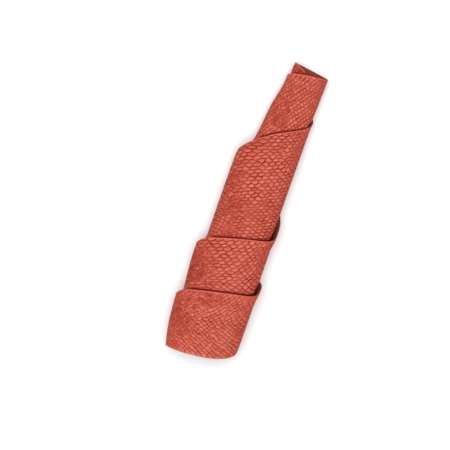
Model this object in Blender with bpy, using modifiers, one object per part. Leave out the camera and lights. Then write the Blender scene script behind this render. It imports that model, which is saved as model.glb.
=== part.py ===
"""A tanned salmon skin, rolled up slantwise on itself from its wide head end to its narrow tail.

The skin is one sheet of leather just under a millimetre thick. It is wound four and a half times into
a flattened, slightly tapered roll that lies on its side. Each turn starts a little further down the
roll than the one inside it, so the outer turns show as overlapping bands, and the narrow end of the
innermost turns stands out as the tip.

The roll lies along X with its tip towards +X and rests on the plane Z = 0. The origin is at the
bottom centre of its bounding box. Lengths are in millimetres and angles in degrees until a point is
placed, and then in metres.
"""

import math

import bmesh
import bpy
from mathutils import Vector

MM = 0.001
FULL_TURN = 360.0

# The sheet
THICKNESS = 0.9

# The winding angle is 0 on the -Y side, 90 on top, 180 on the +Y side and 270 underneath
HEAD_END_ANGLE = 108.0
TAIL_END_ANGLE = 1764.0
STEPS_PER_TURN = 20
ROWS_ACROSS = 22

# How far one turn of the sheet stands outside the turn within it, on each side of the roll
PITCH_MINUS_Y = 1.5
PITCH_PLUS_Y = 3.7
PITCH_TOP = 1.6
PITCH_BOTTOM = 1.4

# Where the two natural edges of the sheet lie along X, as pairs of winding angle and place
TIP_EDGE = (
    (108, 92.2), (126, 93.9), (147, 95.7), (190, 96.6), (360, 92.6), (450, 90.5), (540, 86.6),
    (720, 63.5), (810, 51.5), (862, 41.7), (900, 33.5), (990, 19.0), (1080, -2.0),
    (1101, -12.0), (1166, -18.6), (1226, -24.8), (1260, -29.5), (1350, -35.0),
    (1440, -41.5), (1471, -48.9), (1515, -52.6), (1587, -59.2), (1620, -63.4), (1764, -76.0),
)
FOOT_EDGE = (
    (108, -30.0), (540, -47.7), (900, -63.9), (1260, -78.0), (1420, -79.6),
    (1458, -88.0), (1530, -94.9), (1575, -96.1), (1640, -95.4), (1764, -83.0),
)

# The roll's side and top profiles, as pairs of place along X and size
REACH_MINUS_Y = ((-96, 19.4), (-40, 19.6), (0, 19.7), (58, 20.2), (68, 21.2), (96, 22.4))
REACH_PLUS_Y = (
    (-96, 8.8), (-80, 11.7), (-63, 13.0), (-31, 15.0), (-22, 14.0), (10, 13.9), (31, 13.6),
    (43, 9.6), (66, 6.5), (86, 3.0), (90, 4.9), (97, 4.6),
)
TOP_HEIGHT = ((-96, 17.5), (-60, 18.8), (-20, 19.2), (30, 18.6), (60, 16.2), (96, 13.0))
ANGLE_OF_MINUS_Y_PROFILE = 360.0
ANGLE_OF_PLUS_Y_PROFILE = 540.0
ANGLE_OF_TOP_PROFILE = 450.0
FIRST_BOTTOM_ANGLE = 270.0

# The underside is pressed flat by the roll's weight, and lifts where one more turn comes under it
PRESSED_DEPTH = 1.2
PRESSED_BLEND = 0.5
LIFT_LENGTH = 20.0
LIFT_ANGLES = (560, 920, 1280, 1640)

# The tip edge of the two outer turns springs away from the turn below on the -Y side
SPRING_ANGLES = (1112, 1472)
SPRING_HALF_WIDTH = 50.0
SPRING_HEIGHT = 2.4
SPRING_LENGTH = 9.0

# The finish
LEATHER_COLOUR = (0.56, 0.085, 0.05, 1.0)
LEATHER_ROUGHNESS = 0.5


def through(knots, at):
    """A smooth curve through the knots that never overshoots them, read at one place."""
    if at <= knots[0][0]:
        return knots[0][1]
    if at >= knots[-1][0]:
        return knots[-1][1]
    slopes = [(b[1] - a[1]) / (b[0] - a[0]) for a, b in zip(knots, knots[1:])]
    tangents = [slopes[0]]
    for before, after in zip(slopes, slopes[1:]):
        tangents.append(2 * before * after / (before + after) if before * after > 0 else 0.0)
    tangents.append(slopes[-1])
    index = max(i for i, knot in enumerate(knots[:-1]) if knot[0] <= at)
    span = knots[index + 1][0] - knots[index][0]
    u = (at - knots[index][0]) / span
    return (
        (2 * u**3 - 3 * u**2 + 1) * knots[index][1]
        + (u**3 - 2 * u**2 + u) * span * tangents[index]
        + (3 * u**2 - 2 * u**3) * knots[index + 1][1]
        + (u**3 - u**2) * span * tangents[index + 1]
    )


def smooth_step(value):
    """0 below 0, 1 above 1 and a smooth rise between."""
    value = min(max(value, 0.0), 1.0)
    return value * value * (3 - 2 * value)


def turns_from(angle, reference):
    return (angle - reference) / FULL_TURN


def lift_at(x):
    """How far the first turn's underside is lifted by the turns that lie under it at this place."""
    turns_under = sum(
        smooth_step((through(TIP_EDGE, angle) + LIFT_LENGTH - x) / LIFT_LENGTH)
        for angle in LIFT_ANGLES
    )
    return PITCH_BOTTOM * turns_under


def pressed(height):
    """A height above the layer below, flattened where it would sink into it."""
    if height <= -PRESSED_BLEND:
        return 0.0
    if height >= PRESSED_BLEND:
        return height
    return (height + PRESSED_BLEND) ** 2 / (4 * PRESSED_BLEND)


def spring_at(angle, x):
    """How far the sheet stands off the turn below, close to its tip edge on the outer turns."""
    from_edge = max(through(TIP_EDGE, angle) - x, 0.0)
    height = 0.0
    for centre in SPRING_ANGLES:
        off = abs(angle - centre) / SPRING_HALF_WIDTH
        if off < 1:
            height += SPRING_HEIGHT * math.cos(off * math.pi / 2) ** 2
    return height * math.exp(-((from_edge / SPRING_LENGTH) ** 2))


def skin_point(angle, x):
    """The middle of the sheet's thickness at a winding angle and a place along X, in millimetres."""
    half = THICKNESS / 2
    minus_y = through(REACH_MINUS_Y, x) + PITCH_MINUS_Y * turns_from(angle, ANGLE_OF_MINUS_Y_PROFILE)
    plus_y = through(REACH_PLUS_Y, x) + PITCH_PLUS_Y * turns_from(angle, ANGLE_OF_PLUS_Y_PROFILE)
    lift = lift_at(x)
    top = through(TOP_HEIGHT, x) + lift + PITCH_TOP * turns_from(angle, ANGLE_OF_TOP_PROFILE)
    bottom = lift - PITCH_BOTTOM * turns_from(angle, FIRST_BOTTOM_ANGLE) - PRESSED_DEPTH
    spring = spring_at(angle, x)
    across = (plus_y + minus_y) / 2 + spring - half
    upright = (top - bottom) / 2 + spring - half
    radians = math.radians(angle)
    y = (plus_y - minus_y) / 2 - across * math.cos(radians)
    z = (top + bottom) / 2 + upright * math.sin(radians)
    layer = round(turns_from(angle, FIRST_BOTTOM_ANGLE))
    floor = lift - PITCH_BOTTOM * layer + half
    return Vector((x, y, floor + pressed(z - floor)))


def box_middle(vertices):
    """The middle, in plan, of the box that holds the vertices."""
    middle = [
        (min(v.co[axis] for v in vertices) + max(v.co[axis] for v in vertices)) / 2
        for axis in (0, 1)
    ]
    return Vector((*middle, 0.0))


def leather_material():
    material = bpy.data.materials.new("tanned salmon leather")
    material.use_nodes = True
    shader = material.node_tree.nodes["Principled BSDF"]
    shader.inputs["Base Color"].default_value = LEATHER_COLOUR
    shader.inputs["Roughness"].default_value = LEATHER_ROUGHNESS
    shader.inputs["Metallic"].default_value = 0.0
    material.diffuse_color = LEATHER_COLOUR
    return material


def rolled_skin(collection):
    """The sheet as a grid, one way round the winding and one way across, bent into the roll."""
    steps = round(turns_from(TAIL_END_ANGLE, HEAD_END_ANGLE) * STEPS_PER_TURN)
    sheet = bmesh.new()
    bmesh.ops.create_grid(sheet, x_segments=steps, y_segments=ROWS_ACROSS, size=0.5)
    for vertex in sheet.verts:
        along = vertex.co.x + 0.5
        across = vertex.co.y + 0.5
        angle = HEAD_END_ANGLE + along * (TAIL_END_ANGLE - HEAD_END_ANGLE)
        tip_side = through(TIP_EDGE, angle)
        foot_side = through(FOOT_EDGE, angle)
        vertex.co = skin_point(angle, foot_side + across * (tip_side - foot_side)) * MM
    bmesh.ops.translate(sheet, verts=sheet.verts, vec=-box_middle(sheet.verts))
    mesh = bpy.data.meshes.new("rolled_skin")
    sheet.to_mesh(mesh)
    sheet.free()
    skin = bpy.data.objects.new("rolled_skin", mesh)
    collection.objects.link(skin)
    leather = skin.modifiers.new("leather thickness", "SOLIDIFY")
    leather.thickness = THICKNESS * MM
    leather.offset = 0.0
    leather.use_even_offset = True
    mesh.shade_smooth()
    mesh.materials.append(leather_material())
    return skin


def main():
    for old in list(bpy.data.objects):
        bpy.data.objects.remove(old, do_unlink=True)
    collection = bpy.data.collections.new("tanned salmon skin")
    bpy.context.scene.collection.children.link(collection)
    rolled_skin(collection)


main()
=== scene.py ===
"""Dresses the rolled, tanned salmon skin: its scale pockets, its dyed grain, its flesh side and edges."""

import math

import bmesh
import bpy
import numpy as np
from bpy.props import FloatProperty, FloatVectorProperty, PointerProperty
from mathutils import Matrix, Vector


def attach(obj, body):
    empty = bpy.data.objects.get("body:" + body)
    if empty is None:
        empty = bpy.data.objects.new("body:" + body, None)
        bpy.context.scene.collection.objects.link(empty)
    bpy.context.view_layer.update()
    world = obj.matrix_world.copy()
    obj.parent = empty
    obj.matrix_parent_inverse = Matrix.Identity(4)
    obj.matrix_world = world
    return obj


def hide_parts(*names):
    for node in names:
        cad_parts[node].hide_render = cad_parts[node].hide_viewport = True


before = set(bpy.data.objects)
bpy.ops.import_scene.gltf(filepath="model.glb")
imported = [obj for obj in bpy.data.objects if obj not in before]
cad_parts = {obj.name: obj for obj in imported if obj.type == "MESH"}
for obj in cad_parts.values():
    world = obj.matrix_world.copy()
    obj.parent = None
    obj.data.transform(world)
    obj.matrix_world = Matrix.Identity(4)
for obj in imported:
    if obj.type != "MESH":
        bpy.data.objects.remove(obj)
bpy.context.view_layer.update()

bl_info = {
    "name": "Rolled salmon skin",
    "version": (1, 0, 0),
    "blender": (4, 5, 0),
    "location": "View3D > Sidebar > Salmon skin",
    "description": "Builds a rolled, tanned salmon skin and a plain studio around it",
    "category": "Object",
}

MM = 0.001
FULL_TURN = 360.0
HALF_TURN = 180.0

# The sheet and its winding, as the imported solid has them, in millimetres and degrees.
# The winding angle is 0 on the -Y side, 90 on top, 180 on the +Y side and 270 underneath.
THICKNESS = 0.9
HEAD_END_ANGLE = 108.0
TAIL_END_ANGLE = 1764.0
PITCH_MINUS_Y = 1.5
PITCH_PLUS_Y = 3.7
PITCH_TOP = 1.6
PITCH_BOTTOM = 1.4
TIP_EDGE = (
    (108, 92.2), (126, 93.9), (147, 95.7), (190, 96.6), (360, 92.6), (450, 90.5), (540, 86.6),
    (720, 63.5), (810, 51.5), (862, 41.7), (900, 33.5), (990, 19.0), (1080, -2.0),
    (1101, -12.0), (1166, -18.6), (1226, -24.8), (1260, -29.5), (1350, -35.0),
    (1440, -41.5), (1471, -48.9), (1515, -52.6), (1587, -59.2), (1620, -63.4), (1764, -76.0),
)
FOOT_EDGE = (
    (108, -30.0), (540, -47.7), (900, -63.9), (1260, -78.0), (1420, -79.6),
    (1458, -88.0), (1530, -94.9), (1575, -96.1), (1640, -95.4), (1764, -83.0),
)
REACH_MINUS_Y = ((-96, 19.4), (-40, 19.6), (0, 19.7), (58, 20.2), (68, 21.2), (96, 22.4))
REACH_PLUS_Y = (
    (-96, 8.8), (-80, 11.7), (-63, 13.0), (-31, 15.0), (-22, 14.0), (10, 13.9), (31, 13.6),
    (43, 9.6), (66, 6.5), (86, 3.0), (90, 4.9), (97, 4.6),
)
TOP_HEIGHT = ((-96, 17.5), (-60, 18.8), (-20, 19.2), (30, 18.6), (60, 16.2), (96, 13.0))
ANGLE_OF_MINUS_Y_PROFILE = 360.0
ANGLE_OF_PLUS_Y_PROFILE = 540.0
ANGLE_OF_TOP_PROFILE = 450.0
FIRST_BOTTOM_ANGLE = 270.0
PRESSED_DEPTH = 1.2
PRESSED_BLEND = 0.5
LIFT_LENGTH = 20.0
LIFT_ANGLES = (560, 920, 1280, 1640)
SPRING_ANGLES = (1112, 1472)
SPRING_HALF_WIDTH = 50.0
SPRING_HEIGHT = 2.4
SPRING_LENGTH = 9.0

# How finely the sheet is meshed: steps round the roll on top, underneath and on the hidden first turn
STEP_ON_TOP = 0.52
STEP_UNDERNEATH = 0.74
STEP_ON_FIRST_TURN = 1.6
FIRST_TURN_ENDS = 360.0
SHOWN_ROWS = 96
HIDDEN_ROWS = 10
OVERLAP_SHOWN = 5.0
FOOT_MARGIN = 1.5
RIM_PLACES = (0.0, 0.08, 0.2, 0.4)
# The flesh side keeps one column in three, one shown row in three and one hidden row in two
FLESH_STEP = 3
HIDDEN_FLESH_STEP = 2
# The sine of the winding angle from which the roll counts as its top
TOP_BEGINS = -0.1
# Turn and step used to find the sheet's outward direction
NORMAL_TURN = 0.4
NORMAL_STEP = 0.2
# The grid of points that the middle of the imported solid's box is found from
BOX_COLUMNS = 93
BOX_ROWS = 23
# How far in from its edges the leather gets thinner
THINNED_WITHIN = 3.0
# Corners sharper than this, in degrees, are not smoothed over
SHARP_ANGLE = 50.0

# The scale pockets, along the skin by winding angle: the millimetres between rows, the rows that a
# millimetre along the skin climbs, the half pockets in a millimetre along a row, and the half pockets
# that a millimetre across the skin sets them along by, above and below the lateral line
ROW_SPACING = (
    (108, 1.75), (450, 1.85), (640, 2.1), (820, 2.2), (1170, 2.2), (1400, 1.95), (1460, 1.8),
    (1600, 1.45), (1764, 1.4),
)
ROW_CLIMB = (
    (108, -0.06), (465, -0.05), (700, 0.03), (820, 0.05), (1170, 0.06), (1520, 0.03), (1764, 0.03),
)
POCKETS_ALONG = (
    (108, 0.62), (450, 0.60), (640, 0.53), (820, 0.51), (1000, 0.46), (1170, 0.43), (1400, 0.46),
    (1500, 0.54), (1764, 0.58),
)
LEAN_ABOVE = (
    (108, 0.15), (450, 0.12), (640, 0.04), (820, 0.0), (1000, 0.03), (1170, 0.09), (1520, 0.22),
)
LEAN_BELOW = ((108, -0.17), (860, -0.17), (1200, -0.15), (1520, -0.12))
# The rows lie closer beside the lateral line, within this width, and beyond this distance from it
CROWDED_BY_MIDDLE = 1.0
CROWDED_MIDDLE_WIDTH = 9.0
CROWDED_FROM = 40.0
CROWDING = 0.0015
# Patches where the pockets are rubbed smooth: place along and across the skin, half sizes and how far
RUBBED_PATCHES = (
    (42, 64, 6, 5, 0.9), (67, 46, 6, 12, 0.55), (70, 36, 8, 9, 0.6), (178, 4, 8, 10, 0.85),
    (176, 24, 7, 14, 0.5), (181, -10, 9, 8, 0.55), (297, 9, 12, 17, 0.6), (305, 4, 8, 18, 0.5),
    (417, 0, 12, 18, 0.55), (400, 14, 15, 5, 0.5),
)
# How much further than elsewhere the pockets stray from their rows
POCKET_STRAY = ((108, 1.0), (1300, 1.0), (1440, 1.6), (1764, 1.5))
# The plain border of the skin before its pockets begin
BORDER = 0.3
BORDER_BLEND = 0.8
# How far the arc under a pocket bows, as a part of a row, and how far the creases that slant up
# towards the tip outdo the others
POCKET_BOW = (
    (108, 0.3), (430, 0.32), (540, 0.4), (700, 0.22), (860, 0.22), (1100, 0.38), (1220, 0.24),
    (1440, 0.42), (1764, 0.42),
)
POCKET_SLANT = (
    (108, 0.3), (430, 0.35), (540, 0.4), (700, 0.1), (860, 0.1), (1080, 0.3), (1240, 0.15),
    (1440, 0.55), (1764, 0.55),
)
SLANT_TURNS_OVER = 5.0
# A pocket's section: how much of its crease is filled, how wide its shoulder is, as parts of a row,
# how high its top is, and how much higher its lower border is
CREASE_FLOOR = 0.05
POCKET_SHOULDER = 0.4
POCKET_TOP = 0.85
POCKET_TILT = 0.2
# The painted shadow line on a turn beside the edge of the turn that covers it
EDGE_SHADOW_REACH = 0.6
EDGE_SHADOW_FADE = 1.1
# Between these angles of each half turn it is laid out as seen from above, and it blends out over
# the others. The edge above is read in this many steps.
TOP_FROM = 10.0
TOP_FROM_BLEND = 20.0
TOP_UNTIL = 160.0
TOP_UNTIL_BLEND = 25.0
EDGE_STEPS = 181
# The flap at the head end is rubbed smooth up to this winding angle, and less over the blend
FLAP_RUBBED_TO = 180.0
FLAP_BLEND = 90.0
FLAP_RUBBED = 0.75
# Painted light: the roll's top is painted paler and its flanks darker, as light from above leaves them. The
# sine of the winding angle where this begins, and its rise
TOP_LIGHT_SINE = 0.25
TOP_LIGHT_BLEND = 0.65


def through(knots, at):
    """A smooth curve through the knots that never overshoots them, read at an array of places."""
    places, values = np.array(knots, float).T
    slopes = np.diff(values) / np.diff(places)
    product = slopes[:-1] * slopes[1:]
    total = np.where(product > 0, slopes[:-1] + slopes[1:], 1.0)
    inner = np.where(product > 0, 2 * product / total, 0.0)
    tangents = np.concatenate(([slopes[0]], inner, [slopes[-1]]))
    at = np.clip(at, places[0], places[-1])
    index = np.clip(np.searchsorted(places, at, side="right") - 1, 0, len(slopes) - 1)
    span = places[index + 1] - places[index]
    u = (at - places[index]) / span
    return (
        (2 * u**3 - 3 * u**2 + 1) * values[index]
        + (u**3 - 2 * u**2 + u) * span * tangents[index]
        + (3 * u**2 - 2 * u**3) * values[index + 1]
        + (u**3 - u**2) * span * tangents[index + 1]
    )


def smooth_step(value):
    """0 below 0, 1 above 1 and a smooth rise between."""
    value = np.clip(value, 0.0, 1.0)
    return value * value * (3 - 2 * value)


def turns_from(angle, reference):
    return (angle - reference) / FULL_TURN


def lift_at(x):
    """How far the first turn's underside is lifted by the turns that lie under it at this place."""
    turns_under = sum(
        smooth_step((through(TIP_EDGE, angle) + LIFT_LENGTH - x) / LIFT_LENGTH)
        for angle in LIFT_ANGLES
    )
    return PITCH_BOTTOM * turns_under


def pressed(height):
    """A height above the layer below, flattened where it would sink into it."""
    blend = (height + PRESSED_BLEND) ** 2 / (4 * PRESSED_BLEND)
    return np.where(height <= -PRESSED_BLEND, 0.0, np.where(height >= PRESSED_BLEND, height, blend))


def spring_at(angle, x):
    """How far the sheet stands off the turn below, close to its tip edge on the outer turns."""
    from_edge = np.maximum(through(TIP_EDGE, angle) - x, 0.0)
    height = 0.0
    for centre in SPRING_ANGLES:
        off = np.minimum(np.abs(angle - centre) / SPRING_HALF_WIDTH, 1.0)
        height = height + SPRING_HEIGHT * np.cos(off * math.pi / 2) ** 2
    return height * np.exp(-((from_edge / SPRING_LENGTH) ** 2))


def skin_points(angle, x):
    """The middle of the sheet's thickness at arrays of winding angles and places along X."""
    half = THICKNESS / 2
    minus_y = through(REACH_MINUS_Y, x) + PITCH_MINUS_Y * turns_from(angle, ANGLE_OF_MINUS_Y_PROFILE)
    plus_y = through(REACH_PLUS_Y, x) + PITCH_PLUS_Y * turns_from(angle, ANGLE_OF_PLUS_Y_PROFILE)
    lift = lift_at(x)
    top = through(TOP_HEIGHT, x) + lift + PITCH_TOP * turns_from(angle, ANGLE_OF_TOP_PROFILE)
    bottom = lift - PITCH_BOTTOM * turns_from(angle, FIRST_BOTTOM_ANGLE) - PRESSED_DEPTH
    spring = spring_at(angle, x)
    across = (plus_y + minus_y) / 2 + spring - half
    upright = (top - bottom) / 2 + spring - half
    radians = np.radians(angle)
    y = (plus_y - minus_y) / 2 - across * np.cos(radians)
    z = (top + bottom) / 2 + upright * np.sin(radians)
    layer = np.round(turns_from(angle, FIRST_BOTTOM_ANGLE))
    floor = lift - PITCH_BOTTOM * layer + half
    return np.stack(np.broadcast_arrays(x, y, floor + pressed(z - floor)), axis=-1)


def skin_normals(angle, x):
    """The outward direction of the sheet, from points close by."""
    round_roll = skin_points(angle + NORMAL_TURN, x) - skin_points(angle - NORMAL_TURN, x)
    along_roll = skin_points(angle, x + NORMAL_STEP) - skin_points(angle, x - NORMAL_STEP)
    normal = np.cross(along_roll, round_roll)
    return normal / np.linalg.norm(normal, axis=-1, keepdims=True)


def ripple(u, v, size, seed, waves=7):
    """An even, gentle unevenness between about -1 and 1, with lumps of about the given size."""
    draw = np.random.default_rng(seed)
    total = 0.0
    for _ in range(waves):
        heading = draw.uniform(0, 2 * math.pi)
        rate = 2 * math.pi / (size * draw.uniform(0.7, 1.6))
        phase = draw.uniform(0, 2 * math.pi)
        total = total + np.sin(rate * (u * math.cos(heading) + v * math.sin(heading)) + phase)
    return total / math.sqrt(waves)


def running_total(rate, over):
    """How much a rate adds up to along a way."""
    steps = (rate[1:] + rate[:-1]) / 2 * np.diff(over)
    return np.concatenate(([0.0], np.cumsum(steps)))


class Winding:
    """The sheet's own measures at each winding angle: the way round the roll, its middle and slope."""

    # In degrees: the step, how far the slope is evened out, and up to where it is held constant
    STEP = 0.5
    SMOOTHED_OVER = 60.0
    STRAIGHT_UNTIL = 580.0

    def __init__(self):
        self.angles = np.arange(HEAD_END_ANGLE, TAIL_END_ANGLE + self.STEP, self.STEP)
        self.angles[-1] = TAIL_END_ANGLE
        self.middle = (through(TIP_EDGE, self.angles) + through(FOOT_EDGE, self.angles)) / 2
        points = skin_points(self.angles, self.middle)
        steps = np.linalg.norm(np.diff(points[:, 1:], axis=0), axis=1)
        self.way_round = np.concatenate(([0.0], np.cumsum(steps)))
        slope = -np.gradient(self.middle, self.way_round)
        window = np.hanning(int(2 * self.SMOOTHED_OVER / self.STEP) + 1)
        padded = np.pad(slope, len(window) // 2, mode="edge")
        slope = np.arctan(np.convolve(padded, window / window.sum(), mode="valid"))
        self.slope = np.interp(np.maximum(self.angles, self.STRAIGHT_UNTIL), self.angles, slope)
        self.length = running_total(1 / np.cos(self.slope), self.way_round)
        self.pockets = running_total(through(POCKETS_ALONG, self.angles), self.length)
        self.climb = running_total(through(ROW_CLIMB, self.angles), self.length)

    def read(self, values, angle):
        return np.interp(angle, self.angles, values)


def column_angles(winding):
    """The winding angles of the mesh's columns: fine where the roll is seen, with a rim at each end."""
    angles = winding.angles
    on_top = np.sin(np.radians(angles)) > TOP_BEGINS
    step = np.where(on_top, STEP_ON_TOP, STEP_UNDERNEATH)
    step = np.where(angles < FIRST_TURN_ENDS, STEP_ON_FIRST_TURN, step)
    density = running_total(1 / step, winding.way_round)
    count = FLESH_STEP * round(density[-1] / FLESH_STEP)
    even = np.interp(np.linspace(0, density[-1], count + 1), density, angles)
    places = np.interp(even, angles, winding.way_round)
    for index, place in enumerate(RIM_PLACES):
        places[index] = place
        places[-1 - index] = winding.way_round[-1] - place
    return np.interp(places, winding.way_round, angles)


def row_places(angle):
    """Places along X of each column's rows, from the tip edge to the foot edge."""
    tip = through(TIP_EDGE, angle)
    foot = through(FOOT_EDGE, angle)
    next_angle = angle + FULL_TURN
    covered_to = np.where(next_angle <= TAIL_END_ANGLE, through(TIP_EDGE, next_angle), foot)
    shown_to = np.maximum(covered_to - OVERLAP_SHOWN, foot + FOOT_MARGIN)
    rim = np.array(RIM_PLACES)
    shown = np.linspace(0, 1, SHOWN_ROWS + 1)[1:]
    hidden = np.linspace(0, 1, HIDDEN_ROWS + 1)[1:]
    first = tip - rim[-1]
    last = foot + rim[-1]
    rows = [tip - place for place in rim]
    rows += [first + (shown_to - first) * part for part in shown]
    rows += [shown_to + (last - shown_to) * part for part in hidden]
    rows += [foot + place for place in rim[-2::-1]]
    return np.stack(rows, axis=1)


def flesh_rows(count):
    """The numbers of the rows that the flesh side has, with the outermost ones at both edges."""
    shown_end = len(RIM_PLACES) - 1 + SHOWN_ROWS
    rows = list(range(0, shown_end, FLESH_STEP))
    rows += list(range(shown_end, count - 1, HIDDEN_FLESH_STEP))
    return rows + [count - 1]


def flesh_part(values, across_rows):
    """What the flesh side keeps of values given for every column and row."""
    return values[::FLESH_STEP][:, across_rows]


def beside(way_over):
    """1 up to the covering edge and just beside it, and 0 further off."""
    return 1 - smooth_step((way_over - EDGE_SHADOW_REACH) / EDGE_SHADOW_FADE)


def painted_edge_shadow_line(angle, x):
    """Where shadow is painted: 1 beside the edge of the turn above, as seen from above on top of the roll,
    else along the skin.
    """
    along_skin = beside(x - through(TIP_EDGE, angle + FULL_TURN))
    line = np.where(angle + FULL_TURN <= TAIL_END_ANGLE, along_skin, 0.0)
    y = skin_points(angle, x)[..., 1]
    for start in np.arange(0.0, TAIL_END_ANGLE - FULL_TURN, FULL_TURN):
        edge_start = start + FULL_TURN
        edge_angle = np.linspace(edge_start, edge_start + HALF_TURN, EDGE_STEPS)
        edge_x = through(TIP_EDGE, edge_angle)
        edge_y = skin_points(edge_angle, edge_x)[:, 1]
        from_above = beside(x - np.interp(y, edge_y, edge_x))
        rising = smooth_step((angle - start - TOP_FROM) / TOP_FROM_BLEND)
        falling = smooth_step((start + TOP_UNTIL - angle) / TOP_UNTIL_BLEND)
        line = line + rising * falling * (from_above - line)
    return line


class Grain:
    """The grain face's own map: places on the flat skin, its rows of pockets, where it is rubbed, and where
    light and shade are painted on it.
    """

    # How far the pockets stray, and over what size of lump
    WARPS = ((0.13, 9.0), (0.10, 3.6))
    ROW_SEED = 11
    COLUMN_SEED = 31
    # The clouds of light wear: the share, size and seed of each
    CLOUDS = ((1.0, 34.0, 21), (0.5, 13.0, 22))
    CLOUD_FROM = 0.2
    CLOUD_BLEND = 1.2
    CLOUD_WEAR = 0.3
    # How ragged the rubbed patches' borders are, and how far inside them the pockets begin to fade
    RAGGED_SHARE = 0.25
    RAGGED_SIZE = 5.0
    RAGGED_SEED = 23
    PATCH_FADE = 0.2

    def __init__(self, winding, angle, x):
        slope = winding.read(winding.slope, angle)
        off_middle = x - winding.read(winding.middle, angle)
        self.across = off_middle * np.cos(slope)
        self.along = winding.read(winding.length, angle) - off_middle * np.sin(slope)
        along_count = winding.read(winding.pockets, angle)
        along_count = along_count - through(POCKETS_ALONG, angle) * off_middle * np.sin(slope)
        crowded = np.maximum(np.abs(self.across) - CROWDED_FROM, 0.0)
        rows = self.across / through(ROW_SPACING, angle) + winding.read(winding.climb, angle)
        rows = rows + CROWDED_BY_MIDDLE * np.tanh(self.across / CROWDED_MIDDLE_WIDTH)
        rows = rows + CROWDING * np.sign(self.across) * crowded**2
        lean = np.where(self.across > 0, through(LEAN_ABOVE, angle), through(LEAN_BELOW, angle))
        stray = through(POCKET_STRAY, angle)
        self.rows = rows + stray * self.warp(self.ROW_SEED)
        self.columns = along_count + lean * self.across + stray * self.warp(self.COLUMN_SEED)
        way = winding.read(winding.way_round, angle)
        sides = np.minimum(through(TIP_EDGE, angle) - x, x - through(FOOT_EDGE, angle))
        ends = np.minimum(way, winding.way_round[-1] - way)
        self.from_edge = np.maximum(np.minimum(sides, ends), 0.0)
        self.clearness = self.unrubbed(angle)
        # Painted shadow beside the edge of the turn that covers this one
        self.painted_edge_shadow = painted_edge_shadow_line(angle, x)
        # Painted light: 1 on the roll's top, which is painted paler, falling to 0 on its darker flanks
        self.painted_top_light = smooth_step((np.sin(np.radians(angle)) - TOP_LIGHT_SINE) / TOP_LIGHT_BLEND)
        self.bow = through(POCKET_BOW, angle)
        self.slant = through(POCKET_SLANT, angle) * np.tanh(self.across / SLANT_TURNS_OVER)

    def unrubbed(self, angle):
        """Nearly 1 all over, and less in patches where the pockets have been rubbed smooth."""
        clouds = sum(share * self.ripple(lumps, seed) for share, lumps, seed in self.CLOUDS)
        left = 1 - self.CLOUD_WEAR * smooth_step((clouds - self.CLOUD_FROM) / self.CLOUD_BLEND)
        on_flap = 1 - smooth_step((angle - FLAP_RUBBED_TO) / FLAP_BLEND)
        left = left * (1 - FLAP_RUBBED * on_flap)
        ragged = self.RAGGED_SHARE * self.ripple(self.RAGGED_SIZE, self.RAGGED_SEED)
        for along, across, half_length, half_width, strength in RUBBED_PATCHES:
            off = np.hypot((self.along - along) / half_length, (self.across - across) / half_width)
            inside = 1 - smooth_step(off + ragged - self.PATCH_FADE)
            left = left * (1 - strength * inside)
        return left

    def ripple(self, lumps, seed):
        return ripple(self.along, self.across, lumps, seed)

    def warp(self, seed):
        """How far the pockets stray from evenness, as a part of one."""
        return sum(
            share * self.ripple(lumps, seed + index)
            for index, (share, lumps) in enumerate(self.WARPS)
        )

    def pocket_height(self):
        """0 in the creases between the pockets and up to 1 on them, each tilted up to its lower border."""
        upper = np.ceil(self.rows)
        depth = upper - self.rows
        off = self.columns + upper
        aside = np.abs(off - 2 * np.round(off / 2))
        border = 0.5 + self.bow * (1 - 2 * aside ** (2 - 2 * self.bow))
        in_lower = depth > border
        from_side = np.where(in_lower, aside, 1 - aside)
        inward = np.minimum(np.abs(depth - border), from_side)
        weak = np.maximum(np.where(off > 2 * np.round(off / 2), self.slant, -self.slant), 0.0)
        raised = 1 - (1 - weak) * (1 - smooth_step((inward + CREASE_FLOOR) / POCKET_SHOULDER))
        tilt = np.where(in_lower, depth - 1, depth)
        whole = smooth_step((self.from_edge - BORDER) / BORDER_BLEND)
        return 1 - whole * self.clearness * (1 - raised * (POCKET_TOP + POCKET_TILT * tilt))


def mesh_arrays(sizes):
    """The grain side's maps, the points of both sides, and the rows that the flesh side has."""
    winding = Winding()
    columns = column_angles(winding)
    x = row_places(columns)
    angle = np.repeat(columns[:, None], x.shape[1], axis=1)
    middle = skin_points(angle, x)
    normal = skin_normals(angle, x)
    grain = Grain(winding, angle, x)

    edge = sizes.edge_rounding / MM
    thin = 1 - sizes.edge_thinning * (1 - smooth_step(grain.from_edge / THINNED_WITHIN))
    inside = np.minimum(grain.from_edge, edge)
    drop = edge - np.sqrt(np.maximum(edge**2 - (edge - inside) ** 2, 0.0))
    depth = sizes.pocket_depth / MM * (1 - grain.pocket_height())
    grain_out = THICKNESS / 2 * thin - drop - depth
    flesh_in = -THICKNESS / 2 * thin

    across_rows = flesh_rows(x.shape[1])
    outer = middle + normal * grain_out[..., None]
    inner = flesh_part(middle + normal * flesh_in[..., None], across_rows)
    return grain, outer, inner, across_rows


def box_middle():
    """The middle, in plan, of the box round points that cover the sheet evenly."""
    angle = np.linspace(HEAD_END_ANGLE, TAIL_END_ANGLE, BOX_COLUMNS)[:, None]
    foot = through(FOOT_EDGE, angle)
    x = foot + np.linspace(0, 1, BOX_ROWS) * (through(TIP_EDGE, angle) - foot)
    points = skin_points(np.broadcast_to(angle, x.shape), x)
    middle = (points.min(axis=(0, 1)) + points.max(axis=(0, 1))) / 2
    return np.array((middle[0], middle[1], 0.0))


def quads(index, flipped):
    """The faces of a grid of point numbers."""
    a = index[:-1, :-1]
    b = index[1:, :-1]
    c = index[1:, 1:]
    d = index[:-1, 1:]
    order = (a, d, c, b) if flipped else (a, b, c, d)
    return np.stack(order, axis=-1).reshape(-1, 4).tolist()


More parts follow.
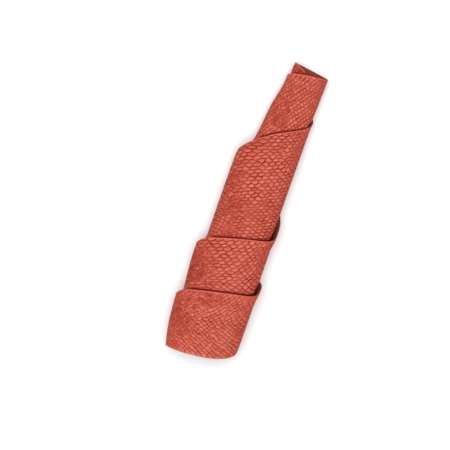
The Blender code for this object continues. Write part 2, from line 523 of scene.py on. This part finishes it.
def rim_faces(grain_loop, flesh_loop, step_places, flipped):
    """The faces that join the fine border of the grain side to the coarse border of the flesh side."""
    faces = []
    for number in range(len(flesh_loop) - 1):
        start, end = step_places[number], step_places[number + 1]
        fine = list(grain_loop[start:end + 1])
        face = fine + [flesh_loop[number + 1], flesh_loop[number]]
        faces.append(face[::-1] if flipped else face)
    return faces


def add_map(mesh, name, first, second, corner_points):
    """A UV map that holds two numbers of each point."""
    layer = mesh.uv_layers.new(name=name)
    pairs = np.stack([first[corner_points], second[corner_points]], axis=1)
    layer.uv.foreach_set("vector", pairs.astype(np.float32).ravel())


def add_measure(mesh, name, values):
    """A number at each point, for the materials."""
    made = mesh.attributes.new(name, "FLOAT", "POINT")
    made.data.foreach_set("value", values.astype(np.float32))


def skin_mesh(sizes):
    """The closed skin: its two sides and the rims between them, with the maps for the materials."""
    grain, outer, inner, across_rows = mesh_arrays(sizes)
    outer_index = np.arange(outer.shape[0] * outer.shape[1]).reshape(outer.shape[:2])
    inner_index = outer_index.size + np.arange(inner.shape[0] * inner.shape[1]).reshape(inner.shape[:2])
    grain_faces = quads(outer_index, False)
    flesh_faces = quads(inner_index, True)
    column_places = list(range(0, outer.shape[0], FLESH_STEP))
    rims = rim_faces(outer_index[:, 0], inner_index[:, 0], column_places, True)
    rims += rim_faces(outer_index[:, -1], inner_index[:, -1], column_places, False)
    rims += rim_faces(outer_index[0], inner_index[0], across_rows, False)
    rims += rim_faces(outer_index[-1], inner_index[-1], across_rows, True)

    points = np.concatenate([outer.reshape(-1, 3), inner.reshape(-1, 3)])
    points = (points - box_middle()) * MM
    mesh = bpy.data.meshes.new("salmon_skin")
    mesh.from_pydata(points.tolist(), [], grain_faces + flesh_faces + rims)
    kinds = [0] * len(grain_faces) + [1] * len(flesh_faces) + [2] * len(rims)
    mesh.polygons.foreach_set("material_index", kinds)

    def both(values):
        return np.concatenate([values.ravel(), flesh_part(values, across_rows).ravel()])

    corners = np.empty(len(mesh.loops), np.int32)
    mesh.loops.foreach_get("vertex_index", corners)
    add_map(mesh, "pockets", both(grain.columns), both(grain.rows), corners)
    add_map(mesh, "flat_skin", both(grain.along), both(grain.across), corners)
    for name in ("clearness", "from_edge", "painted_top_light", "bow", "slant", "painted_edge_shadow"):
        add_measure(mesh, name, both(getattr(grain, name)))
    mesh.shade_smooth()
    mesh.set_sharp_from_angle(angle=math.radians(SHARP_ANGLE))
    return mesh


# Shader helpers


def new_tree(name):
    material = bpy.data.materials.new(name)
    material.use_nodes = True
    tree = material.node_tree
    tree.nodes.clear()
    return material, tree


def place(tree, kind, values=None, **settings):
    """A node with its settings, and its input values or the sockets that feed them, by name or number."""
    node = tree.nodes.new(kind)
    for name, value in settings.items():
        setattr(node, name, value)
    for name, value in (values or {}).items():
        if isinstance(value, bpy.types.NodeSocket):
            tree.links.new(value, node.inputs[name])
        else:
            node.inputs[name].default_value = value
    return node


def maths(tree, operation, first, second=0.0, third=0.0):
    """The result of one sum on sockets or plain numbers."""
    node = place(tree, "ShaderNodeMath", {0: first, 1: second, 2: third}, operation=operation)
    return node.outputs[0]


def ramp(tree, value, low, high, to_low=0.0, to_high=1.0):
    """A smooth rise from one value to another while the input goes from low to high."""
    node = place(
        tree, "ShaderNodeMapRange",
        {"Value": value, "From Min": low, "From Max": high, "To Min": to_low, "To Max": to_high},
        interpolation_type="SMOOTHSTEP",
    )
    return node.outputs["Result"]


def mix(tree, factor, first, second):
    """A colour between two others, by a factor from 0 to 1."""
    node = tree.nodes.new("ShaderNodeMix")
    node.data_type = "RGBA"
    for name, value in (("Factor_Float", factor), ("A_Color", first), ("B_Color", second)):
        socket = next(s for s in node.inputs if s.identifier == name)
        if isinstance(value, bpy.types.NodeSocket):
            tree.links.new(value, socket)
        else:
            socket.default_value = value
    return next(s for s in node.outputs if s.identifier == "Result_Color")


def new_group(name, inputs, outputs):
    """A shader node group with float, vector or colour sockets."""
    tree = bpy.data.node_groups.new(name, "ShaderNodeTree")
    for label, kind, default in inputs:
        socket = tree.interface.new_socket(name=label, in_out="INPUT", socket_type=kind)
        if default is not None:
            socket.default_value = default
    for label, kind in outputs:
        tree.interface.new_socket(name=label, in_out="OUTPUT", socket_type=kind)
    return tree, tree.nodes.new("NodeGroupInput").outputs, tree.nodes.new("NodeGroupOutput").inputs


FLOAT = "NodeSocketFloat"
VECTOR = "NodeSocketVector"

# How deep the materials' own relief is, in metres
NET_RELIEF = 0.00022
PORE_RELIEF = 0.00005
FLESH_RELIEF = 0.0002
CUT_RELIEF = 0.0001


def leather_grain_group():
    """Fine pores and follicle marks, and the cloudy take-up of the dye, at places in millimetres."""
    tree, given, out = new_group(
        "Leather grain",
        (("Place", VECTOR, None), ("Pore Size", FLOAT, 0.5), ("Cloud Size", FLOAT, 8.0)),
        (("Pores", FLOAT), ("Clouds", FLOAT)),
    )
    pore_rate = maths(tree, "DIVIDE", 1.0, given["Pore Size"])
    pores = place(
        tree, "ShaderNodeTexVoronoi", {"Vector": given["Place"], "Scale": pore_rate},
        feature="SMOOTH_F1",
    )
    fine = place(
        tree, "ShaderNodeTexNoise", {"Vector": given["Place"], "Scale": pore_rate, "Detail": 3.0}
    )
    tree.links.new(
        maths(tree, "MULTIPLY_ADD", pores.outputs["Distance"], 0.6, fine.outputs["Fac"]), out["Pores"]
    )
    cloud_rate = maths(tree, "DIVIDE", 1.0, given["Cloud Size"])
    clouds = place(
        tree, "ShaderNodeTexNoise",
        {"Vector": given["Place"], "Scale": cloud_rate, "Detail": 4.0, "Roughness": 0.6},
    )
    tree.links.new(ramp(tree, clouds.outputs["Fac"], 0.3, 0.7), out["Clouds"])
    return tree


def scale_pocket_group():
    """The rows of scale pockets, from a place that counts them along a row and across the rows."""
    tree, given, out = new_group(
        "Scale pockets",
        (
            ("Count", VECTOR, None), ("Bow", FLOAT, 0.25), ("Slant", FLOAT, 0.0),
            ("Crease Width", FLOAT, 0.2),
        ),
        (("Under", FLOAT), ("Between", FLOAT), ("Top", FLOAT), ("Tilt", FLOAT), ("Shade", FLOAT)),
    )
    parts = place(tree, "ShaderNodeSeparateXYZ", {0: given["Count"]}).outputs
    upper = maths(tree, "CEIL", parts["Y"])
    depth = maths(tree, "SUBTRACT", upper, parts["Y"])
    off = maths(tree, "ADD", parts["X"], upper)
    aside = maths(tree, "PINGPONG", off, 1.0)
    power = maths(tree, "MULTIPLY_ADD", given["Bow"], -2.0, 2.0)
    arc = maths(tree, "MULTIPLY_ADD", maths(tree, "POWER", aside, power), -2.0, 1.0)
    border = maths(tree, "MULTIPLY_ADD", arc, given["Bow"], 0.5)
    below = maths(tree, "SUBTRACT", depth, border)
    in_lower = maths(tree, "GREATER_THAN", below, 0.0)
    half_width = given["Crease Width"]
    under = ramp(tree, maths(tree, "ABSOLUTE", below), 0.08, half_width, 1.0, 0.0)
    side = maths(tree, "SIGN", maths(tree, "SINE", maths(tree, "MULTIPLY", off, math.pi)))
    weak = maths(tree, "MAXIMUM", maths(tree, "MULTIPLY", side, given["Slant"]), 0.0)
    strength = maths(tree, "SUBTRACT", 1.0, weak)
    tree.links.new(maths(tree, "MULTIPLY", under, strength), out["Under"])
    in_upper = maths(tree, "SUBTRACT", 1.0, in_lower)
    from_side = maths(tree, "ABSOLUTE", maths(tree, "SUBTRACT", in_upper, aside))
    tree.links.new(ramp(tree, from_side, 0.06, half_width, 1.0, 0.0), out["Between"])
    inward = maths(tree, "MINIMUM", maths(tree, "ABSOLUTE", below), from_side)
    tree.links.new(ramp(tree, inward, 0.03, 0.28), out["Top"])
    tree.links.new(maths(tree, "SUBTRACT", depth, in_lower), out["Tilt"])
    row = maths(tree, "SUBTRACT", upper, in_lower)
    pair = maths(tree, "ROUND", maths(tree, "MULTIPLY", maths(tree, "ADD", parts["X"], row), 0.5))
    cell = place(tree, "ShaderNodeCombineXYZ", {"X": pair, "Y": row})
    shade = place(tree, "ShaderNodeTexWhiteNoise", {"Vector": cell.outputs[0]}, noise_dimensions="3D")
    tree.links.new(shade.outputs["Value"], out["Shade"])
    return tree


def wrinkle_group():
    """Fine, shallow wrinkles that run along the skin, at places in millimetres."""
    tree, given, out = new_group(
        "Leather wrinkles",
        (("Place", VECTOR, None), ("Spacing", FLOAT, 1.6), ("Stretch", FLOAT, 5.0)),
        (("Wrinkle", FLOAT),),
    )
    parts = place(tree, "ShaderNodeSeparateXYZ", {0: given["Place"]}).outputs
    along = maths(tree, "DIVIDE", parts["X"], given["Stretch"])
    drawn = place(tree, "ShaderNodeCombineXYZ", {"X": along, "Y": parts["Y"]}).outputs[0]
    rate = maths(tree, "DIVIDE", 1.0, given["Spacing"])
    noise = place(tree, "ShaderNodeTexNoise", {"Vector": drawn, "Scale": rate, "Detail": 2.0}).outputs["Fac"]
    line = maths(tree, "ABSOLUTE", maths(tree, "SUBTRACT", noise, 0.5))
    tree.links.new(ramp(tree, line, 0.12, 0.0), out["Wrinkle"])
    return tree


def measure(tree, name):
    """One of the numbers that the mesh holds at each point."""
    return place(tree, "ShaderNodeAttribute", attribute_name=name).outputs["Fac"]


def relief(tree, height, depth, **values):
    """A bump of the given depth in metres, as a normal."""
    settings = {"Height": height, "Distance": depth, "Strength": 1.0, **values}
    return place(tree, "ShaderNodeBump", settings).outputs[0]


def group_node(tree, name, values):
    return place(tree, "ShaderNodeGroup", values, node_tree=bpy.data.node_groups[name]).outputs


def finish_material(tree, colour, roughness, specular, normal=None):
    """The material's shader and output."""
    shader = place(
        tree, "ShaderNodeBsdfPrincipled",
        {"Base Color": colour, "Roughness": roughness, "Specular IOR Level": specular},
    )
    if normal is not None:
        tree.links.new(normal, shader.inputs["Normal"])
    out = tree.nodes.new("ShaderNodeOutputMaterial")
    tree.links.new(shader.outputs[0], out.inputs["Surface"])


def grain_material(colours):
    """The dyed grain side: pale pockets between darker creases, with painted highlight on the pockets and
    painted shade in the creases besides their wear and dye.

    First come the creases, then how pale the tops are, from wear and painted highlight, then the colour and
    last the relief.
    """
    material, tree = new_tree("salmon skin grain side")
    count = place(tree, "ShaderNodeUVMap", uv_map="pockets").outputs["UV"]
    flat = place(tree, "ShaderNodeUVMap", uv_map="flat_skin").outputs["UV"]
    clear = measure(tree, "clearness")
    from_edge = measure(tree, "from_edge")
    pockets = group_node(
        tree, "Scale pockets",
        {
            "Count": count, "Bow": measure(tree, "bow"), "Slant": measure(tree, "slant"),
            "Crease Width": 0.26,
        },
    )
    grain = group_node(tree, "Leather grain", {"Place": flat, "Pore Size": 0.45, "Cloud Size": 9.0})
    mottle = group_node(tree, "Leather grain", {"Place": flat, "Pore Size": 1.3, "Cloud Size": 20.0})
    wrinkles = group_node(tree, "Leather wrinkles", {"Place": flat, "Spacing": 1.1, "Stretch": 2.5})

    whole = ramp(tree, from_edge, BORDER, BORDER + BORDER_BLEND)
    # The crease colour laid below is partly dye gathered in the creases and partly painted shade in them
    under = maths(tree, "MULTIPLY", pockets["Under"], ramp(tree, clear, 0.0, 1.0, 0.2, 1.0))
    between = maths(tree, "MULTIPLY", pockets["Between"], ramp(tree, clear, 0.0, 1.0, 0.0, 0.75))
    crease = maths(tree, "MAXIMUM", under, between)
    broken = ramp(tree, grain["Clouds"], 0.0, 1.0, 1.0, 0.6)
    crease = maths(tree, "MULTIPLY", crease, broken)
    faded = maths(tree, "SUBTRACT", 1.0, clear)
    wrinkle = maths(tree, "MULTIPLY", wrinkles["Wrinkle"], ramp(tree, faded, 0.05, 0.7, 0.1, 0.7))
    crease = maths(tree, "MULTIPLY", maths(tree, "MAXIMUM", crease, wrinkle), whole)

    # How pale each pocket is: random tone and wear, with painted highlight towards its raised lower border,
    # in its middle and on the roll's top
    shade = ramp(tree, pockets["Shade"], 0.0, 1.0, 0.41, 0.71)
    wear_and_highlight = maths(tree, "MULTIPLY_ADD", pockets["Tilt"], 0.3, shade)
    blotch = ramp(tree, mottle["Pores"], 0.5, 1.0, -0.55, 0.55)
    blotch = maths(tree, "MULTIPLY", blotch, ramp(tree, faded, 0.0, 0.6, 0.35, 1.0))
    for share in (
        ramp(tree, pockets["Top"], 0.0, 1.0, 0.8, 1.04),
        ramp(tree, clear, 0.0, 1.0, 0.7, 1.0),
        # Painted light: paler on the roll's top than on its flanks
        ramp(tree, measure(tree, "painted_top_light"), 0.0, 1.0, 0.78, 1.0),
        ramp(tree, grain["Pores"], 0.3, 1.0, 0.7, 1.3),
        maths(tree, "ADD", blotch, 1.0),
    ):
        wear_and_highlight = maths(tree, "MULTIPLY", wear_and_highlight, share)
    colour = mix(tree, ramp(tree, grain["Clouds"], 0.0, 1.0, 0.0, 0.35), colours.grain, colours.crease)
    colour = mix(tree, wear_and_highlight, colour, colours.wear_and_highlight)
    # Painted shade with dye: the creases and wrinkles darkened
    colour = mix(tree, maths(tree, "MULTIPLY", crease, 0.95), colour, colours.crease)
    # Paler along the edges: partly edge wear, partly painted highlight where the edge catches the light
    edge_wear_and_highlight = maths(tree, "MULTIPLY", ramp(tree, from_edge, 1.3, 0.5), 0.3)
    colour = mix(tree, edge_wear_and_highlight, colour, colours.wear_and_highlight)
    # Painted shadow: the crease colour laid beside the edge of each covering turn
    colour = mix(tree, measure(tree, "painted_edge_shadow"), colour, colours.crease)
    colour = mix(tree, ramp(tree, from_edge, 0.3, 0.12, 0.0, 0.9), colour, colours.cut)

    roughness = ramp(tree, crease, 0.0, 1.0, 0.5, 0.7)
    net = maths(tree, "SUBTRACT", 1.0, crease)
    tilt = maths(tree, "MULTIPLY", pockets["Tilt"], clear)
    net = maths(tree, "MULTIPLY_ADD", tilt, 0.3, net)
    first = relief(tree, net, NET_RELIEF)
    fine = relief(tree, grain["Pores"], PORE_RELIEF, Strength=0.8, Normal=first)
    finish_material(tree, colour, roughness, 0.06, fine)
    return material


def flesh_material(colours):
    """The napped flesh side."""
    material, tree = new_tree("salmon skin flesh side")
    flat = place(tree, "ShaderNodeUVMap", uv_map="flat_skin").outputs["UV"]
    grain = group_node(tree, "Leather grain", {"Place": flat, "Pore Size": 0.8, "Cloud Size": 5.0})
    worn = maths(tree, "MULTIPLY", grain["Clouds"], 0.4)
    colour = mix(tree, worn, colours.flesh, colours.grain)
    roughness = ramp(tree, grain["Clouds"], 0.0, 1.0, 0.82, 0.95)
    nap = relief(tree, grain["Pores"], FLESH_RELIEF)
    finish_material(tree, colour, roughness, 0.1, nap)
    return material


def cut_material(colours):
    """The cut edges, where the fibres show."""
    material, tree = new_tree("salmon skin cut edge")
    at = place(tree, "ShaderNodeTexCoord").outputs["Object"]
    at = place(tree, "ShaderNodeVectorMath", {0: at, 1: (1 / MM,) * 3}, operation="MULTIPLY").outputs[0]
    grain = group_node(tree, "Leather grain", {"Place": at, "Pore Size": 0.35, "Cloud Size": 3.0})
    colour = mix(tree, grain["Clouds"], colours.cut, colours.flesh)
    roughness = ramp(tree, grain["Clouds"], 0.0, 1.0, 0.75, 0.9)
    nap = relief(tree, grain["Pores"], CUT_RELIEF)
    finish_material(tree, colour, roughness, 0.2, nap)
    return material


def floor_material(colours):
    """Plain matt paper, very slightly clouded."""
    material, tree = new_tree("studio floor")
    at = place(tree, "ShaderNodeTexCoord").outputs["Object"]
    cloud = place(tree, "ShaderNodeTexNoise", {"Vector": at, "Scale": 3.0, "Detail": 2.0})
    colour = mix(tree, cloud.outputs["Fac"], colours.floor, colours.floor_light)
    roughness = ramp(tree, cloud.outputs["Fac"], 0.0, 1.0, 0.75, 0.85)
    finish_material(tree, colour, roughness, 0.1)
    return material


# The user's sizes and colours


def size_setting(name, description, default):
    return FloatProperty(
        name=name, description=description, default=default, min=0.0, subtype="DISTANCE", unit="LENGTH"
    )


def colour_setting(name, description, default):
    return FloatVectorProperty(
        name=name, description=description, default=(*default, 1.0),
        size=4, min=0.0, max=1.0, subtype="COLOR",
    )


class SkinSizes(bpy.types.PropertyGroup):
    pocket_depth: size_setting("Pocket depth", "Depth of the creases between the scale pockets", 0.00030)
    edge_rounding: size_setting("Edge rounding", "Radius of the grain side's worn edge", 0.00016)
    edge_thinning: FloatProperty(
        name="Edge thinning", description="Share of the thickness lost at the edges",
        default=0.2, min=0.0, max=0.6, subtype="FACTOR",
    )


class SkinColours(bpy.types.PropertyGroup):
    grain: colour_setting("Grain", "Dyed grain side", (0.41, 0.038, 0.014))
    # Partly dye gathered in the creases, partly painted shade there
    crease: colour_setting("Crease", "Dye gathered between the scale pockets", (0.17, 0.002, 0.001))
    # Pale tops of the pockets: partly rubbed wear, partly painted highlight
    wear_and_highlight: colour_setting("Rubbed", "Pale tops of the scale pockets", (0.64, 0.155, 0.107))
    flesh: colour_setting("Flesh", "Napped flesh side", (0.23, 0.060, 0.050))
    cut: colour_setting("Cut", "Cut edge", (0.14, 0.018, 0.011))
    floor: colour_setting("Floor", "Studio floor", (0.88, 0.88, 0.885))
    floor_light: colour_setting("Floor, light", "Lighter clouds on the studio floor", (0.90, 0.90, 0.905))


class StudioSizes(bpy.types.PropertyGroup):
    camera_height: size_setting("Camera height", "Height of the camera over the floor", 1.2)
    framed_width: size_setting("Framed width", "Width that the camera sees at the roll's middle", 0.279)
    floor_width: size_setting("Floor width", "Width of the studio floor", 6.0)
    key_power: FloatProperty(
        name="Key power", description="Power of the main soft light", default=13.0, unit="POWER"
    )
    surround: FloatProperty(name="Surround", description="Brightness of the white surround", default=0.5)


# Where the camera stands over the roll, and which way the top of its picture points
CAMERA_OVER = (-0.01393, 0.00949)
CAMERA_TURN = -70.95
ROLL_MIDDLE_HEIGHT = 0.012
SENSOR_WIDTH = 36.0
# The main light hangs almost straight above, a little down and to the left in the picture
KEY_DISTANCE = 1.1
KEY_WIDTH = 1.1
KEY_UP = -0.04
KEY_LEFT = 0.05


class SALMON_OT_rolled_skin(bpy.types.Operator):
    """Build the rolled skin with its scale pockets and materials"""

    bl_idname = "salmon.rolled_skin"
    bl_label = "Rolled skin"

    def execute(self, context):
        leather_grain_group()
        scale_pocket_group()
        wrinkle_group()
        colours = context.scene.skin_colours
        mesh = skin_mesh(context.scene.skin_sizes)
        for material in (grain_material(colours), flesh_material(colours), cut_material(colours)):
            mesh.materials.append(material)
        skin = bpy.data.objects.new("salmon_skin", mesh)
        context.scene.collection.objects.link(skin)
        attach(skin, "root")
        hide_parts("rolled_skin")
        return {"FINISHED"}


class SALMON_OT_studio(bpy.types.Operator):
    """Build the floor, the soft lights and the camera"""

    bl_idname = "salmon.studio"
    bl_label = "Studio"

    def execute(self, context):
        scene = context.scene
        sizes = scene.studio_sizes
        self.floor(context, sizes)
        self.lights(scene, sizes)
        self.camera(scene, sizes)
        scene.view_settings.view_transform = "Standard"
        return {"FINISHED"}

    def floor(self, context, sizes):
        mesh = bpy.data.meshes.new("studio_floor")
        plane = bmesh.new()
        bmesh.ops.create_grid(plane, x_segments=1, y_segments=1, size=sizes.floor_width / 2)
        plane.to_mesh(mesh)
        plane.free()
        mesh.materials.append(floor_material(context.scene.skin_colours))
        floor = bpy.data.objects.new("studio_floor", mesh)
        context.scene.collection.objects.link(floor)

    def lights(self, scene, sizes):
        turn = math.radians(CAMERA_TURN)
        picture_up = Vector((-math.sin(turn), math.cos(turn), 0.0))
        picture_left = Vector((-math.cos(turn), -math.sin(turn), 0.0))
        lamp = bpy.data.lights.new("key_light", "AREA")
        lamp.shape = "DISK"
        lamp.size = KEY_WIDTH
        lamp.energy = sizes.key_power
        key = bpy.data.objects.new("key_light", lamp)
        aim = (picture_up * KEY_UP + picture_left * KEY_LEFT + Vector((0, 0, 1))).normalized()
        key.location = aim * KEY_DISTANCE
        key.rotation_euler = aim.to_track_quat("Z", "Y").to_euler()
        scene.collection.objects.link(key)
        world = bpy.data.worlds.new("white surround")
        world.use_nodes = True
        back = world.node_tree.nodes["Background"]
        back.inputs["Color"].default_value = (1.0, 1.0, 1.0, 1.0)
        back.inputs["Strength"].default_value = sizes.surround
        scene.world = world

    def camera(self, scene, sizes):
        view = bpy.data.cameras.new("camera")
        view.sensor_width = SENSOR_WIDTH
        view.lens = SENSOR_WIDTH * (sizes.camera_height - ROLL_MIDDLE_HEIGHT) / sizes.framed_width
        camera = bpy.data.objects.new("camera", view)
        camera.location = (*CAMERA_OVER, sizes.camera_height)
        camera.rotation_euler = (0.0, 0.0, math.radians(CAMERA_TURN))
        scene.collection.objects.link(camera)
        scene.camera = camera


class SALMON_PT_panel(bpy.types.Panel):
    bl_label = "Rolled salmon skin"
    bl_space_type = "VIEW_3D"
    bl_region_type = "UI"
    bl_category = "Salmon skin"

    def draw(self, context):
        for group in (context.scene.skin_sizes, context.scene.skin_colours, context.scene.studio_sizes):
            for name in group.__annotations__:
                self.layout.prop(group, name)
        for operator in OPERATORS:
            self.layout.operator(operator.bl_idname)


OPERATORS = (SALMON_OT_rolled_skin, SALMON_OT_studio)
CLASSES = (SkinSizes, SkinColours, StudioSizes, *OPERATORS, SALMON_PT_panel)


def register():
    for kind in CLASSES:
        bpy.utils.register_class(kind)
    bpy.types.Scene.skin_sizes = PointerProperty(type=SkinSizes)
    bpy.types.Scene.skin_colours = PointerProperty(type=SkinColours)
    bpy.types.Scene.studio_sizes = PointerProperty(type=StudioSizes)


def unregister():
    del bpy.types.Scene.studio_sizes
    del bpy.types.Scene.skin_colours
    del bpy.types.Scene.skin_sizes
    for kind in reversed(CLASSES):
        bpy.utils.unregister_class(kind)


def main():
    register()
    bpy.ops.salmon.rolled_skin()
    bpy.ops.salmon.studio()


if __name__ == "__main__":
    main()
